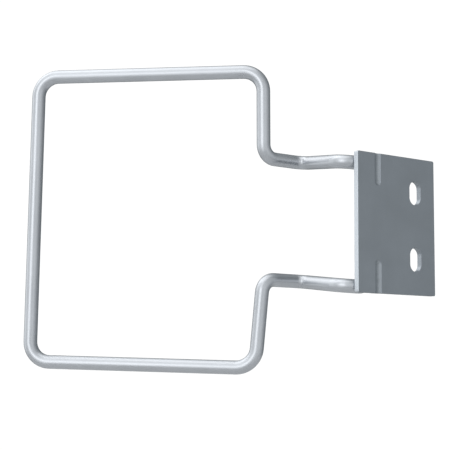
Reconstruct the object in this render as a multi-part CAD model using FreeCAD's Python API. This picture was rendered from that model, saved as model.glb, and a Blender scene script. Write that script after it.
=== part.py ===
import FreeCAD, Part
import math
import os

# Ladder stabilizer: a bent round rod welded to a slotted mounting plate. Millimetres.
#
# Frame: the mounting plate stands in the XZ plane. Its clean face lies on y = 0 and looks along -Y, against
# the roof edge or fascia. The rod stands off from the other face, along +Y. +Z is up. The origin is the centre
# of the two fastener slots, on the clean face.

Vec = FreeCAD.Vector

# Rod
rod_diameter = 12.0
end_chamfer = 1.0  # on the two cut ends of the rod

# Mounting plate
plate_width = 90.0
plate_height = 120.0
plate_thickness = 5.0
plate_corner_radius = 1.5
plate_edge_radius = 0.4
slot_width = 13.0  # clears an M12 fastener
slot_length = 21.0
slot_pitch = 58.4
slot_to_far_edge = 23.25  # slot centre line to the plate's right-hand edge
slit_width = 6.4  # open-ended slits that the feet are welded through
slit_length = 28.0
slit_to_near_edge = 22.7  # slit centre line to the plate's left-hand edge

# Feet: the rod's ends, flat on the back of the plate and turned in behind the slits
foot_end_height = 30.0  # both ends stop this far above or below the origin
leg_spacing = 105.9  # centre to centre, upper leg to lower leg
leg_height = -1.45  # the middle of the two legs, where they meet the plate
leg_to_near_edge = 6.0  # the legs stand this far outside the plate's left-hand edge

# Legs: out from the plate, then sideways past the gutter
standoff_length = 58.2
standoff_angle = 92.0  # degrees from the plate's plane
standoff_rise = 6.3  # degrees above level, going away from the plate
neck_length = 43.6

# Hoop: the near-square loop that holds the ladder's stile
hoop_angle = 45.0  # degrees between the hoop's plane and the plate's plane
upper_shoulder = 77.1  # neck to the hoop's top bar
lower_shoulder = 76.0  # neck to the hoop's bottom bar
upper_shoulder_lean = 0.5  # degrees, the shoulders lean in over and under the hoop
lower_shoulder_lean = 4.9
top_bar_length = 205.7
bottom_bar_length = 201.4
top_bar_rise = 0.5  # degrees, both bars climb towards the hoop's outer side
bottom_bar_rise = 1.1

# Bend radii, to the rod's centre line
foot_bend = 12.5
standoff_bend = 10.0
shoulder_bend = 12.0
hoop_bend = 18.0

# Welds
slit_weld_rim = 0.4  # the welds in the slits meet the slits' walls this far below the clean face
slit_weld_dip = 0.9  # and their hollow faces are this much deeper at the middle
slit_weld_bulge = 0.9  # and stand this far out of the back face, round the rod
bead_radius = 3.0  # the fillet welds beside the feet
bead_offset = 5.6  # bead centre to the foot's centre line
bead_lift = 1.0  # bead centre above the plate's back face
bead_margin = 0.3  # the beads stop this far inside the plate's edges

# Derived places
rod_radius = rod_diameter / 2
plate_left = slot_to_far_edge - plate_width
plate_right = slot_to_far_edge
half_height = plate_height / 2
slit_x = plate_left + slit_to_near_edge
leg_x = plate_left - leg_to_near_edge
rod_y = plate_thickness + rod_radius


def plan_direction(angle, rise):
    """Unit vector away from the plate's left edge: angle from the plate's plane, rise above level."""
    flat = math.cos(math.radians(rise))
    across = math.cos(math.radians(angle))
    outward = math.sin(math.radians(angle))
    return Vec(-across * flat, outward * flat, math.sin(math.radians(rise)))


def half_route(side):
    """Corners and bend radii from one foot's end to that side's hoop corner. side is 1 above, -1 below."""
    shoulder = upper_shoulder if side > 0 else lower_shoulder
    lean = math.radians(upper_shoulder_lean if side > 0 else lower_shoulder_lean)
    foot_z = leg_height + side * leg_spacing / 2
    foot_end = Vec(slit_x, rod_y, side * foot_end_height)
    foot_corner = Vec(slit_x, rod_y, foot_z)
    leg_corner = Vec(leg_x, rod_y, foot_z)
    neck_start = leg_corner + plan_direction(standoff_angle, standoff_rise) * standoff_length
    neck_end = neck_start + Vec(-neck_length, 0, 0)
    along_hoop = plan_direction(hoop_angle, 0.0)
    shoulder_run = along_hoop * math.sin(lean) + Vec(0, 0, side * math.cos(lean))
    hoop_corner = neck_end + shoulder_run * shoulder
    corners = [foot_end, foot_corner, leg_corner, neck_start, neck_end, hoop_corner]
    radii = [foot_bend, foot_bend, standoff_bend, shoulder_bend, hoop_bend]
    return corners, radii


def rod_route():
    """Corners and bend radii of the whole rod, from the upper foot round the hoop to the lower foot."""
    upper, upper_radii = half_route(1)
    lower, lower_radii = half_route(-1)
    outer_top = upper[-1] + plan_direction(hoop_angle, top_bar_rise) * top_bar_length
    outer_bottom = lower[-1] + plan_direction(hoop_angle, bottom_bar_rise) * bottom_bar_length
    corners = upper + [outer_top, outer_bottom] + lower[::-1]
    radii = upper_radii + [hoop_bend, hoop_bend] + lower_radii[::-1]
    return corners, radii


def bend(corner, before, after, radius):
    """Where an arc tangent to both runs starts and ends, with its centre, axis and angle."""
    incoming = (corner - before).normalize()
    outgoing = (after - corner).normalize()
    angle = incoming.getAngle(outgoing)
    reach = radius * math.tan(angle / 2)
    start = corner - incoming * reach
    end = corner + outgoing * reach
    axis = incoming.cross(outgoing).normalize()
    centre = start + axis.cross(incoming) * radius
    return start, end, centre, axis, angle, incoming


def round_bar(corners, radii, radius):
    """Round bar along straight runs joined by tangent arcs, with the length of its centre line."""
    pieces = []
    length = 0.0
    run_start = corners[0]
    for index, bend_radius in enumerate(radii):
        before, corner, after = corners[index:index + 3]
        start, end, centre, axis, angle, incoming = bend(corner, before, after, bend_radius)
        run = start - run_start
        pieces.append(Part.makeCylinder(radius, run.Length, run_start, run))
        section = Part.Face(Part.Wire(Part.makeCircle(radius, start, incoming)))
        pieces.append(section.revolve(centre, axis, math.degrees(angle)))
        length += run.Length + bend_radius * angle
        run_start = end
    run = corners[-1] - run_start
    pieces.append(Part.makeCylinder(radius, run.Length, run_start, run))
    length += run.Length
    return pieces[0].multiFuse(pieces[1:]), length


def chamfer_ring(end, inward):
    """Tool that cuts the chamfer on a bar's end, where inward points back into the bar."""
    blank = Part.makeCylinder(rod_diameter, end_chamfer, end, inward)
    cone = Part.makeCone(rod_radius - end_chamfer, rod_radius, end_chamfer, end, inward)
    return blank.cut(cone)


def make_hoop_rod():
    """One continuous rod: both feet, both legs and the hoop."""
    corners, radii = rod_route()
    rod, length = round_bar(corners, radii, rod_radius)
    for end, nearest in ((corners[0], corners[1]), (corners[-1], corners[-2])):
        rod = rod.cut(chamfer_ring(end, nearest - end))
    print("rod length", round(length, 1), "volume check", round(rod.Volume / (length * math.pi * rod_radius**2), 4))
    return rod


def prism(x0, x1, z0, z1, y0, y1):
    """Upright block between two corners."""
    return Part.makeBox(x1 - x0, y1 - y0, z1 - z0, Vec(x0, y0, z0))


def rounded_cut(x, z0, z1, width, y0, y1):
    """Upright slot cutter with round ends, between the centres of its end arcs z0 and z1."""
    tool = prism(x - width / 2, x + width / 2, z0, z1, y0, y1)
    for z in (z0, z1):
        tool = tool.fuse(Part.makeCylinder(width / 2, y1 - y0, Vec(x, y0, z), Vec(0, 1, 0)))
    return tool


def slit_cutter(side, y0, y1):
    """One open-ended slit, from the plate's edge inwards to a round end."""
    inner = side * (half_height - slit_length + slit_width / 2)
    outer = side * (half_height + slit_width)
    return rounded_cut(slit_x, min(inner, outer), max(inner, outer), slit_width, y0, y1)


def make_mounting_plate():
    """Flat bar with two fastener slots and two open-ended slits, every long edge eased."""
    plate = prism(plate_left, plate_right, -half_height, half_height, 0, plate_thickness)
    upright = [edge for edge in plate.Edges if abs(edge.tangentAt(edge.FirstParameter).y) > 0.5]
    plate = plate.makeFillet(plate_corner_radius, upright)
    straight_half = (slot_length - slot_width) / 2
    for side in (1, -1):
        middle = side * slot_pitch / 2
        plate = plate.cut(rounded_cut(0, middle - straight_half, middle + straight_half, slot_width,
                                      -1, plate_thickness + 1))
        plate = plate.cut(slit_cutter(side, -1, plate_thickness + 1))
    plate = plate.removeSplitter()
    rims = []
    for edge in plate.Edges:
        box = edge.BoundBox
        if box.YLength < 1e-6 and (box.YMin < 1e-6 or box.YMin > plate_thickness - 1e-6):
            rims.append(edge)
    return plate.makeFillet(plate_edge_radius, rims)


def hollow_cutter(side):
    """Round trough with a dished end, which shapes the hollow face of one slit weld."""
    half_width = slit_width / 2
    radius = (half_width**2 + slit_weld_dip**2) / (2 * slit_weld_dip)
    centre_y = slit_weld_rim + slit_weld_dip - radius
    end = Vec(slit_x, centre_y, side * (half_height - slit_length + half_width))
    trough = Part.makeCylinder(radius, slit_length, end, Vec(0, 0, side))
    return trough.fuse(Part.makeSphere(radius, end))


def make_slit_weld(side, rod, plate):
    """Weld metal that fills one slit almost to the clean face and holds the foot behind it."""
    fill = slit_cutter(side, slit_weld_rim - 0.1, plate_thickness + slit_weld_bulge)
    fill = fill.common(prism(plate_left, plate_right, -half_height, half_height, 0, rod_y))
    return fill.cut(hollow_cutter(side)).cut(plate).cut(rod)


def foot_bead(side, sign, rod, plate):
    """One fillet weld beside a foot: sign is 1 outside the foot's bend, -1 inside it."""
    corners, radii = half_route(side)
    end, corner, start = corners[0], corners[1], corners[2]
    bead_y = plate_thickness + bead_lift
    x = corner.x + sign * bead_offset
    z = corner.z + side * sign * bead_offset
    first = Vec(start.x + foot_bend, bead_y, z)
    turn = Vec(x, bead_y, z)
    last = Vec(x, bead_y, end.z + side * bead_radius)
    bead, _ = round_bar([first, turn, last], [foot_bend + sign * bead_offset], bead_radius)
    for point in (first, last):
        bead = bead.fuse(Part.makeSphere(bead_radius, point))
    inside = half_height - bead_margin
    bead = bead.common(prism(plate_left, plate_right, -inside, inside, plate_thickness, rod_y + rod_radius))
    return bead.cut(rod).cut(plate)


def make_foot_welds(side, rod, plate, slit_weld):
    """The pair of fillet welds that hold one foot to the back of the plate."""
    beads = []
    for sign in (1, -1):
        bead = foot_bead(side, sign, rod, plate).cut(slit_weld)
        beads.append(max(bead.Solids, key=lambda solid: solid.Volume))
    return Part.makeCompound(beads)


def make_parts():
    """Every node of the stabilizer by name."""
    rod = make_hoop_rod()
    plate = make_mounting_plate()
    parts = {"hoop_rod": rod, "mounting_plate": plate}
    for word, side in (("upper", 1), ("lower", -1)):
        slit_weld = make_slit_weld(side, rod, plate)
        parts[word + "_slit_weld"] = slit_weld
        parts[word + "_foot_welds"] = make_foot_welds(side, rod, plate, slit_weld)
    return parts


os.makedirs("parts", exist_ok=True)
for name, shape in make_parts().items():
    print(name, "valid", shape.isValid(), "solids", len(shape.Solids), "volume", round(shape.Volume, 1))
    shape.exportStep("parts/" + name + ".step")
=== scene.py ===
import bmesh
import bpy
import math
import random
from mathutils import Matrix, Vector


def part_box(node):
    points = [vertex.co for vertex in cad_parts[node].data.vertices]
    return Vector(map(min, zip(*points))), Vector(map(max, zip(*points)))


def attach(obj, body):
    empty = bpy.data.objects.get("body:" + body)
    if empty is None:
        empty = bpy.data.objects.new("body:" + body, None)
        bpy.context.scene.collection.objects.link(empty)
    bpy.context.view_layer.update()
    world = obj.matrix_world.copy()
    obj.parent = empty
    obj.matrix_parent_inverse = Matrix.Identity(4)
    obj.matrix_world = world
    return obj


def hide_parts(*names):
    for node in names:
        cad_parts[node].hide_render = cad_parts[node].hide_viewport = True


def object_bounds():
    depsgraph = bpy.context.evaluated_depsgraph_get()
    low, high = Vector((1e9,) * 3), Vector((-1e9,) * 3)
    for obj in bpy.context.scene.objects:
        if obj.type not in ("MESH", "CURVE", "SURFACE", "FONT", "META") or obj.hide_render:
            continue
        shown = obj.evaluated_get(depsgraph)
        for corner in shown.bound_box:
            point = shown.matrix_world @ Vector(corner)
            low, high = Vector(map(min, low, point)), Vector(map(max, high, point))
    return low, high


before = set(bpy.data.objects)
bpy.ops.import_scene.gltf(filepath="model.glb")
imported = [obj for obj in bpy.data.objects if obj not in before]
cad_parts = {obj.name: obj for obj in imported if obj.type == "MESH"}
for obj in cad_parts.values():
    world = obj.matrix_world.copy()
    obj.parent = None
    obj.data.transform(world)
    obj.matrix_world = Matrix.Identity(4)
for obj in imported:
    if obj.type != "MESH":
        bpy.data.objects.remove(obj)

cad_low, cad_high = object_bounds()

# Camera: on the side of the plate's clean face, a little below the object and looking up at it.
CAMERA_AZIMUTH = -34.97
CAMERA_ELEVATION = -6.86
CAMERA_ROLL = 0.51
CAMERA_LENS = 88.93
CAMERA_DISTANCE = 0.9917
AIM_RIGHT = -0.0028
AIM_UP = -0.0042

# Broad soft lights round the object: azimuth, elevation, tightness and strength.
STUDIO_LIGHTS = (
    (-95, 15, 2.0, 0.5),
    (-60, 75, 4, 0.48),
    (-62, 42, 14, 0.4),
    (-62, 10, 22, 1.35),
    (-62, -22, 14, 0.6),
    (-4, 6, 4.5, 0.65),
    (50, 5, 8, 0.16),
    (-150, 48, 8, 1.45),
    (-141, -4, 9, 0.6),
)

GLOW_COLOUR = (0.975, 0.985, 1.0, 1)
FILL_COLOUR = (0.82, 0.94, 1.0, 1)
FILL_STRENGTH = 0.15
BACKDROP_STRENGTH = 1.05  # a little over white, so the backdrop stays white
OVERHEAD_AZIMUTH = -60
OVERHEAD_ELEVATION = 80
OVERHEAD_DISTANCE = 1.4
OVERHEAD_SIZE = 1.2
OVERHEAD_POWER = 2.2

# Floor, in metres: how far below the object it lies, its side, and how far out it has faded away.
FLOOR_DROP = 0.25
FLOOR_SIZE = 3.0
FLOOR_REACH = 1.45
FLOOR_COLOUR = (0.62, 0.62, 0.62, 1)
FLOOR_ROUGHNESS = 0.8

# Coat: everything has the same build of coat, and only its colour, gloss and waviness differ.
METALLIC = 0.75
COAT_WEIGHT = 0.7
COAT_ROUGHNESS = 0.09
CLOUD_SCALE = 30.0
FLECK_SCALE = 1500.0
WAVE_SCALE = 55.0
PEEL_SCALE = 700.0
PEEL_DEPTH = 0.00003
ROD_COLOUR = (0.675, 0.695, 0.725)
# The plate wears the rods' coat. Its darker colour is painted shade on its face, which looks away from the
# light.
PLATE_PAINTED_SHADE_COLOUR = (0.395, 0.43, 0.465)
# Painted highlight: the plate's side face, which looks towards the light, gets this lighter colour in place
# of the light falling on it.
PLATE_SIDE_PAINTED_HIGHLIGHT = (0.80, 0.84, 0.88)
# The welds wear the same coat as the rods. Their darker colour is painted shade.
WELD_PAINTED_SHADE_COLOUR = (0.43, 0.465, 0.495)
PLATE_SIDE_HIGHLIGHT_DEPTH = 0.001  # the plate's side face gets its painted highlight colour this far in from the edge

# Feet and welds, in metres. The feet lie flat on the back of the plate.
LEG_HEIGHT = -0.00145
LEG_SPACING = 0.1059
FOOT_BEND = 0.0125
BEAD_RADIUS = 0.003
BEAD_OFFSET = 0.0056
BEAD_LIFT = 0.001
BEAD_STEP = 0.00028
BEAD_SIDES = 30
BEAD_HEIGHT = BEAD_RADIUS * 0.97
BEAD_LEAN = 0.9  # the beads' rounded faces look this much sideways for each unit away from the plate
BEAD_REACH = BEAD_RADIUS * 0.8  # the beads' tapered ends go this far past the end of the CAD bead's core
BEAD_MARGIN = 0.0003  # the beads stay this far inside the plate's edge
BEAD_EASE = 0.0012  # and ease into that limit over this much
BEAD_SINK = 0.00005  # the beads' flat undersides lie this far into the plate's back
RIPPLE_PITCH = 0.0019
RIPPLE_DEPTH = 0.00030
RIPPLE_ROUNDNESS = 0.7  # below 1, the ripples have full crests and narrow valleys
BEAD_RIPPLE_LAG = 0.00075  # the ripples trail by this much from a bead's crown to its side
SLIT_RIPPLE_LAG = 0.0012  # and in a slit, from its middle to its sides
SLIT_RIPPLE_SHARE = 0.8  # of the ripple depth
SLIT_OVERLAP = 0.00045  # the slit welds reach this far into the plate
SLIT_WELD_DIP = 0.0010  # the slit welds are this much deeper at the middle than at the sides
SLIT_STEP = 0.00025
SLIT_ACROSS = 24
SHARP_ANGLE = 50  # degrees between two faces, above which their edge stays sharp


def facing(azimuth, elevation):
    """Unit vector from the object towards a place at this azimuth and elevation, in degrees."""
    a = math.radians(azimuth)
    e = math.radians(elevation)
    return Vector((math.sin(a) * math.cos(e), -math.cos(a) * math.cos(e), math.sin(e)))


def make_camera(centre):
    """The camera of the main view, placed round the object's centre."""
    data = bpy.data.cameras.new("camera")
    data.lens = CAMERA_LENS
    data.sensor_width = 36.0
    camera = bpy.data.objects.new("camera", data)
    bpy.context.collection.objects.link(camera)
    back = facing(CAMERA_AZIMUTH, CAMERA_ELEVATION)
    level_right = (-back).cross(Vector((0, 0, 1))).normalized()
    level_up = level_right.cross(-back)
    roll = math.radians(CAMERA_ROLL)
    right = level_right * math.cos(roll) + level_up * math.sin(roll)
    up = level_up * math.cos(roll) - level_right * math.sin(roll)
    place = centre + right * AIM_RIGHT + up * AIM_UP + back * CAMERA_DISTANCE
    turn = Matrix((right, up, back)).transposed()
    camera.matrix_world = Matrix.Translation(place) @ turn.to_4x4()
    bpy.context.scene.camera = camera


def area_light(name, azimuth, elevation, distance, size, power, centre):
    """Square light that looks at the centre."""
    data = bpy.data.lights.new(name, "AREA")
    data.shape = "RECTANGLE"
    data.size = size
    data.size_y = size
    data.energy = power
    light = bpy.data.objects.new(name, data)
    bpy.context.collection.objects.link(light)
    away = facing(azimuth, elevation)
    light.location = centre + away * distance
    light.rotation_mode = "QUATERNION"
    light.rotation_quaternion = away.to_track_quat("Z", "Y")


def add_soft_light(nodes, links, direction, total, azimuth, elevation, tightness, strength):
    """One light added to the total: strength times the cosine from its middle, raised to its tightness."""
    aim = nodes.new("ShaderNodeVectorMath")
    aim.operation = "DOT_PRODUCT"
    aim.inputs[1].default_value = facing(azimuth, elevation)
    links.new(direction, aim.inputs[0])
    front = nodes.new("ShaderNodeMath")
    front.operation = "MAXIMUM"
    front.inputs[1].default_value = 0.0
    links.new(aim.outputs["Value"], front.inputs[0])
    falloff = nodes.new("ShaderNodeMath")
    falloff.operation = "POWER"
    falloff.inputs[1].default_value = tightness
    links.new(front.outputs[0], falloff.inputs[0])
    add = nodes.new("ShaderNodeMath")
    add.operation = "MULTIPLY_ADD"
    add.inputs[1].default_value = strength
    add.inputs[2].default_value = 0.0
    links.new(falloff.outputs[0], add.inputs[0])
    if total:
        links.new(total, add.inputs[2])
    return add.outputs[0]


def make_world(fill_strength, lights):
    """White behind the object. On the object: dim bluish fill, and broad soft lights given by azimuth,
    elevation, tightness and strength."""
    world = bpy.data.worlds.new("studio")
    bpy.context.scene.world = world
    world.use_nodes = True
    nodes = world.node_tree.nodes
    links = world.node_tree.links
    nodes.clear()
    direction = nodes.new("ShaderNodeTexCoord").outputs["Generated"]
    total = None
    for light in lights:
        total = add_soft_light(nodes, links, direction, total, *light)
    glow = nodes.new("ShaderNodeBackground")
    glow.inputs["Color"].default_value = GLOW_COLOUR
    links.new(total, glow.inputs["Strength"])
    fill = nodes.new("ShaderNodeBackground")
    fill.inputs["Color"].default_value = FILL_COLOUR
    fill.inputs["Strength"].default_value = fill_strength
    studio = nodes.new("ShaderNodeAddShader")
    links.new(glow.outputs[0], studio.inputs[0])
    links.new(fill.outputs[0], studio.inputs[1])
    white = nodes.new("ShaderNodeBackground")
    white.inputs["Color"].default_value = (1, 1, 1, 1)
    white.inputs["Strength"].default_value = BACKDROP_STRENGTH
    path = nodes.new("ShaderNodeLightPath")
    mix = nodes.new("ShaderNodeMixShader")
    out = nodes.new("ShaderNodeOutputWorld")
    links.new(path.outputs["Is Camera Ray"], mix.inputs["Fac"])
    links.new(studio.outputs[0], mix.inputs[1])
    links.new(white.outputs[0], mix.inputs[2])
    links.new(mix.outputs[0], out.inputs["Surface"])


def noise(nodes, links, place, scale, detail):
    """A noise texture in object space."""
    texture = nodes.new("ShaderNodeTexNoise")
    texture.inputs["Scale"].default_value = scale
    texture.inputs["Detail"].default_value = detail
    links.new(place.outputs["Object"], texture.inputs["Vector"])
    return texture


def bump(nodes, links, height, distance, strength, below=None):
    """A bump node on top of another one."""
    node = nodes.new("ShaderNodeBump")
    node.inputs["Strength"].default_value = strength
    node.inputs["Distance"].default_value = distance
    links.new(height, node.inputs["Height"])
    if below:
        links.new(below.outputs["Normal"], node.inputs["Normal"])
    return node


def colour_ramp(nodes, links, value, start, start_colour, end, end_colour):
    """Colour that goes from one to the other between two values."""
    ramp = nodes.new("ShaderNodeValToRGB")
    first, last = ramp.color_ramp.elements
    first.position = start
    first.color = (*start_colour, 1)
    last.position = end
    last.color = (*end_colour, 1)
    links.new(value, ramp.inputs["Fac"])
    return ramp.outputs["Color"]


def map_range(nodes, links, value, from_min, from_max, to_min, to_max, interpolation="LINEAR"):
    """A value carried from one range to another."""
    node = nodes.new("ShaderNodeMapRange")
    node.interpolation_type = interpolation
    node.inputs["From Min"].default_value = from_min
    node.inputs["From Max"].default_value = from_max
    node.inputs["To Min"].default_value = to_min
    node.inputs["To Max"].default_value = to_max
    links.new(value, node.inputs["Value"])
    return node.outputs["Result"]


def lit_side_mask(nodes, links, place, lit_side_x):
    """Mask of the painted highlight: 1 on faces that look towards -X and lie left of the given x, and 0
    elsewhere.
    """
    shares = []
    for output, start, end in (("Object", lit_side_x, lit_side_x + 0.0003), ("Normal", -0.7, -0.3)):
        apart = nodes.new("ShaderNodeSeparateXYZ")
        links.new(place.outputs[output], apart.inputs[0])
        shares.append(map_range(nodes, links, apart.outputs["X"], start, end, 1.0, 0.0, "SMOOTHSTEP"))
    both = nodes.new("ShaderNodeMath")
    both.operation = "MULTIPLY"
    for share, socket in zip(shares, both.inputs):
        links.new(share, socket)
    return both.outputs[0]


def coat_material(name, colour, rough, wave, seed, painted_side_highlight=None, lit_side_x=0.0):
    """Glossy grey coating: cloudy tint, fine fleck, orange peel, and slow waviness of the metal beneath.
    Faces that look towards -X and lie left of the given x can get a lighter colour: a painted highlight."""
    material = bpy.data.materials.new(name)
    material.use_nodes = True
    nodes = material.node_tree.nodes
    links = material.node_tree.links
    shader = nodes["Principled BSDF"]
    shader.inputs["Metallic"].default_value = METALLIC
    shader.inputs["Coat Weight"].default_value = COAT_WEIGHT
    shader.inputs["Coat Roughness"].default_value = COAT_ROUGHNESS
    place = nodes.new("ShaderNodeTexCoord")

    cloud = noise(nodes, links, place, CLOUD_SCALE + seed, 3.0)
    darker = [c * 0.95 for c in colour]
    lighter = [min(1, c * 1.04) for c in colour]
    tint = colour_ramp(nodes, links, cloud.outputs["Fac"], 0.32, darker, 0.68, lighter)
    # Painted highlight: the faces on the side towards the light get a lighter colour.
    if painted_side_highlight:
        side = nodes.new("ShaderNodeMixRGB")
        side.inputs["Color2"].default_value = (*painted_side_highlight, 1)
        links.new(lit_side_mask(nodes, links, place, lit_side_x), side.inputs["Fac"])
        links.new(tint, side.inputs["Color1"])
        tint = side.outputs["Color"]
    fleck = noise(nodes, links, place, FLECK_SCALE, 1.0)
    dots = colour_ramp(nodes, links, fleck.outputs["Fac"], 0.36, (0.94, 0.94, 0.945), 0.62, (1.0, 1.0, 1.0))
    blend = nodes.new("ShaderNodeMixRGB")
    blend.blend_type = "MULTIPLY"
    blend.inputs["Fac"].default_value = 1.0
    links.new(tint, blend.inputs["Color1"])
    links.new(dots, blend.inputs["Color2"])
    links.new(blend.outputs["Color"], shader.inputs["Base Color"])

    spread = map_range(nodes, links, cloud.outputs["Fac"], 0.3, 0.7, rough - 0.04, rough + 0.05)
    links.new(spread, shader.inputs["Roughness"])

    slow = noise(nodes, links, place, WAVE_SCALE, 1.0)
    peel = noise(nodes, links, place, PEEL_SCALE, 2.0)
    waves = bump(nodes, links, slow.outputs["Fac"], wave, 0.6)
    skin = bump(nodes, links, peel.outputs["Fac"], PEEL_DEPTH, 0.5, waves)
    links.new(skin.outputs["Normal"], shader.inputs["Normal"])
    links.new(skin.outputs["Normal"], shader.inputs["Coat Normal"])
    return material


def floor_material(reach):
    """Pale matt floor that fades out towards its edge."""
    material = bpy.data.materials.new("pale_floor")
    material.use_nodes = True
    nodes = material.node_tree.nodes
    links = material.node_tree.links
    shader = nodes["Principled BSDF"]
    shader.inputs["Base Color"].default_value = FLOOR_COLOUR
    shader.inputs["Roughness"].default_value = FLOOR_ROUGHNESS
    place = nodes.new("ShaderNodeTexCoord")
    far = nodes.new("ShaderNodeVectorMath")
    far.operation = "LENGTH"
    links.new(place.outputs["Object"], far.inputs[0])
    fade = map_range(nodes, links, far.outputs["Value"], reach * 0.3, reach, 1.0, 0.0, "SMOOTHSTEP")
    links.new(fade, shader.inputs["Alpha"])
    return material


def turn_path(first, corner, last, radius, step):
    """Evenly spaced points with their directions, along two straight runs joined by an arc."""
    incoming = (corner - first).normalized()
    outgoing = (last - corner).normalized()
    angle = incoming.angle(outgoing)
    reach = radius * math.tan(angle / 2)
    start = corner - incoming * reach
    end = corner + outgoing * reach
    inward = (outgoing - incoming * incoming.dot(outgoing)).normalized()
    centre = start + inward * radius
    run_in = (start - first).length
    arc = radius * angle
    run_out = (last - end).length
    count = max(2, round((run_in + arc + run_out) / step))
    total = run_in + arc + run_out
    places = []
    for index in range(count + 1):
        s = total * index / count
        if s < run_in:
            places.append((s, first + incoming * s, incoming))
        elif s < run_in + arc:
            turned = (s - run_in) / radius
            along = incoming * math.cos(turned) + inward * math.sin(turned)
            across = inward * math.cos(turned) - incoming * math.sin(turned)
            places.append((s, centre - across * radius, along))
        else:
            places.append((s, end + outgoing * (s - run_in - arc), outgoing))
    return places, total


def ripple(s, amounts):
    """Height of the weld ripples at a distance along the weld. Each ripple has its own share of the depth."""
    number, part = divmod(s / RIPPLE_PITCH, 1)
    return (4 * part * (1 - part)) ** RIPPLE_ROUNDNESS * RIPPLE_DEPTH * amounts[int(number) % len(amounts)]


def bead_rings(places, total, crown, half_width, half_height, rng):
    """Rings of a rippled weld bead along a path. crown gives the direction its rounded face looks."""
    amounts = [rng.uniform(0.65, 1.25) for _ in range(200)]
    shifts = [rng.uniform(0, 2 * math.pi) for _ in range(3)]
    rings = []
    for s, centre, along in places:
        out = crown(along)
        side = along.cross(out).normalized()
        left = min(s, total - s)
        taper = math.sqrt(max(0.0, 1 - (1 - min(1.0, left / half_width)) ** 2))
        swell = 1 + 0.05 * math.sin(s * 260 + shifts[0]) + 0.03 * math.sin(s * 610 + shifts[1])
        ring = []
        for k in range(BEAD_SIDES):
            angle = 2 * math.pi * k / BEAD_SIDES
            lag = (1 - math.cos(angle)) * BEAD_RIPPLE_LAG
            lift = ripple(s + lag, amounts)
            width = half_width * taper * swell + lift * 0.8
            height = half_height * taper * swell + lift
            ring.append(centre + out * math.cos(angle) * height + side * math.sin(angle) * width)
        rings.append(ring)
    return rings


def add_rings(verts, faces, rings):
    """Closed skin over a list of rings."""
    sides = len(rings[0])
    base = len(verts)
    for ring in rings:
        verts.extend(ring)
    for i in range(len(rings) - 1):
        for k in range(sides):
            a = base + i * sides + k
            b = base + i * sides + (k + 1) % sides
            faces.append((a, b, b + sides, a + sides))
    faces.append(tuple(base + k for k in reversed(range(sides))))
    last = base + (len(rings) - 1) * sides
    faces.append(tuple(last + k for k in range(sides)))


def mesh_object(name, verts, faces, material):
    """A smooth-shaded mesh in the scene."""
    mesh = bpy.data.meshes.new(name)
    mesh.from_pydata([tuple(v) for v in verts], [], faces)
    mesh.update()
    mesh.materials.append(material)
    for polygon in mesh.polygons:
        polygon.use_smooth = True
    piece = bpy.data.objects.new(name, mesh)
    bpy.context.collection.objects.link(piece)
    return piece


def tidy_normals(piece):
    """All faces outward, and sharp edges kept sharp."""
    skin = bmesh.new()
    skin.from_mesh(piece.data)
    bmesh.ops.recalc_face_normals(skin, faces=skin.faces)
    for edge in skin.edges:
        edge.smooth = edge.calc_face_angle(math.pi) < math.radians(SHARP_ANGLE)
    skin.to_mesh(piece.data)
    skin.free()


def place_weld(node, verts, faces, material):
    """The visible weld that stands in for a CAD weld."""
    piece = mesh_object("rippled_" + node, verts, faces, material)
    tidy_normals(piece)
    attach(piece, "root")
    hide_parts(node)


def soft_limit(value, limit, ease):
    """Value held below a limit, easing into it."""
    inner = limit - ease
    if abs(value) <= inner:
        return value
    return math.copysign(inner + ease * math.tanh((abs(value) - inner) / ease), value)


def foot_welds(word, side, material, rng):
    """The two rippled fillet beads beside one foot, on the back of the plate."""
    node = word + "_foot_welds"
    low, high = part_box(node)
    slit_low, slit_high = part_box(word + "_slit_weld")
    plate_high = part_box("mounting_plate")[1]
    foot_x = (slit_low.x + slit_high.x) / 2
    leg_z = LEG_HEIGHT + side * LEG_SPACING / 2
    inner_z = (low.z if side > 0 else high.z) + side * BEAD_RADIUS
    bead_y = plate_high.y + BEAD_LIFT
    start_x = low.x + BEAD_RADIUS
    verts = []
    faces = []
    for sign in (1, -1):
        x = foot_x + sign * BEAD_OFFSET
        z = leg_z + side * sign * BEAD_OFFSET
        first = Vector((start_x - BEAD_REACH, bead_y, z))
        corner = Vector((x, bead_y, z))
        last = Vector((x, bead_y, inner_z - side * BEAD_REACH))
        places, total = turn_path(first, corner, last, FOOT_BEND + sign * BEAD_OFFSET, BEAD_STEP)

        def crown(along, sign=sign):
            sideways = along.cross(Vector((0, 1, 0)))
            sideways *= sign * side
            return (Vector((0, 1, 0)) + sideways * BEAD_LEAN).normalized()

        rings = bead_rings(places, total, crown, BEAD_RADIUS, BEAD_HEIGHT, rng)
        for ring in rings:
            for point in ring:
                point.z = soft_limit(point.z, plate_high.z - BEAD_MARGIN, BEAD_EASE)
                point.y = max(point.y, plate_high.y - BEAD_SINK)
        add_rings(verts, faces, rings)
    place_weld(node, verts, faces, material)


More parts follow.
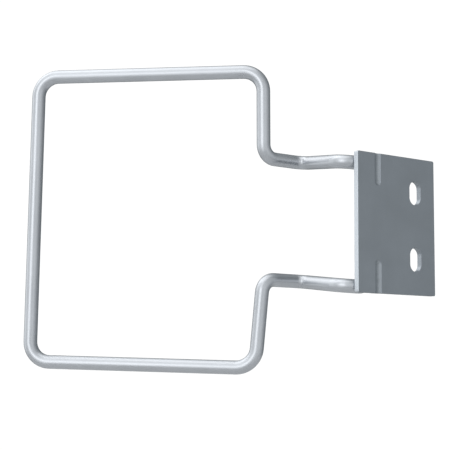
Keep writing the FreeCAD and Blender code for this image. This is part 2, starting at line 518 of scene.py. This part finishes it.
def slit_weld(word, side, material, rng):
    """The rippled, hollow weld metal in one slit, from its dished round end out to the plate's edge. Its
    sides reach a little way into the plate."""
    node = word + "_slit_weld"
    low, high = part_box(node)
    middle = (low.x + high.x) / 2
    slit_half = (high.x - low.x) / 2
    half_width = slit_half + SLIT_OVERLAP
    inner_z = (low.z if side > 0 else high.z) - side * SLIT_OVERLAP
    length = high.z - low.z + SLIT_OVERLAP
    steps = round(length / SLIT_STEP)
    amounts = [rng.uniform(0.4, 1.2) for _ in range(60)]
    shifts = [rng.uniform(0, 2 * math.pi) for _ in range(2)]
    rings = []
    for i in range(steps + 1):
        s = length * i / steps
        z = inner_z + side * s
        short = max(0.0, 1 - s / half_width)
        reach = half_width * math.sqrt(max(0.0, 1 - short * short)) + 0.00002
        drift = 0.00035 * math.sin(s * 420 + shifts[0]) + 0.0002 * math.sin(s * 950 + shifts[1])
        top = []
        bottom = []
        for k in range(SLIT_ACROSS + 1):
            u = 2 * k / SLIT_ACROSS - 1
            lift = ripple(s + SLIT_RIPPLE_LAG * u * u, amounts) * SLIT_RIPPLE_SHARE
            x = middle + u * reach
            from_middle = math.hypot(u * reach, max(0.0, half_width - s))
            bowl = max(0.0, 1 - (from_middle / slit_half) ** 2) * (1 + drift * u * reach / slit_half**2)
            top.append(Vector((x, low.y + (SLIT_WELD_DIP - lift) * bowl, z)))
            bottom.append(Vector((x, high.y, z)))
        rings.append(top + bottom[::-1])
    verts = []
    faces = []
    add_rings(verts, faces, rings)
    place_weld(node, verts, faces, material)


def make_floor(centre):
    """The floor below the object."""
    bpy.ops.mesh.primitive_plane_add(size=FLOOR_SIZE, location=(centre.x, centre.y, cad_low.z - FLOOR_DROP))
    floor = bpy.context.object
    floor.name = "floor"
    floor.data.materials.append(floor_material(FLOOR_REACH))


centre = (cad_low + cad_high) / 2
make_camera(centre)
make_world(FILL_STRENGTH, STUDIO_LIGHTS)
bpy.context.scene.view_settings.view_transform = "Standard"
area_light("overhead", OVERHEAD_AZIMUTH, OVERHEAD_ELEVATION, OVERHEAD_DISTANCE, OVERHEAD_SIZE,
           OVERHEAD_POWER, centre)
make_floor(centre)

# The plate's side face that looks towards the light, -X, gets a lighter colour: a painted highlight.
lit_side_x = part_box("mounting_plate")[0].x + PLATE_SIDE_HIGHLIGHT_DEPTH
rod_coat = coat_material("rod_coat", ROD_COLOUR, rough=0.30, wave=0.00012, seed=0.0)
# The plate's darker colour is painted shade.
plate_coat = coat_material("plate_coat", PLATE_PAINTED_SHADE_COLOUR, rough=0.33, wave=0.00003, seed=4.0,
                           painted_side_highlight=PLATE_SIDE_PAINTED_HIGHLIGHT, lit_side_x=lit_side_x)
# The welds' darker colour is painted shade.
weld_coat = coat_material("weld_coat", WELD_PAINTED_SHADE_COLOUR, rough=0.33, wave=0.00002, seed=9.0)
for name, material in (("hoop_rod", rod_coat), ("mounting_plate", plate_coat)):
    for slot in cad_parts[name].material_slots:
        slot.material = material

rng = random.Random(7)
for word, side in (("upper", 1), ("lower", -1)):
    slit_weld(word, side, weld_coat, rng)
    foot_welds(word, side, weld_coat, rng)
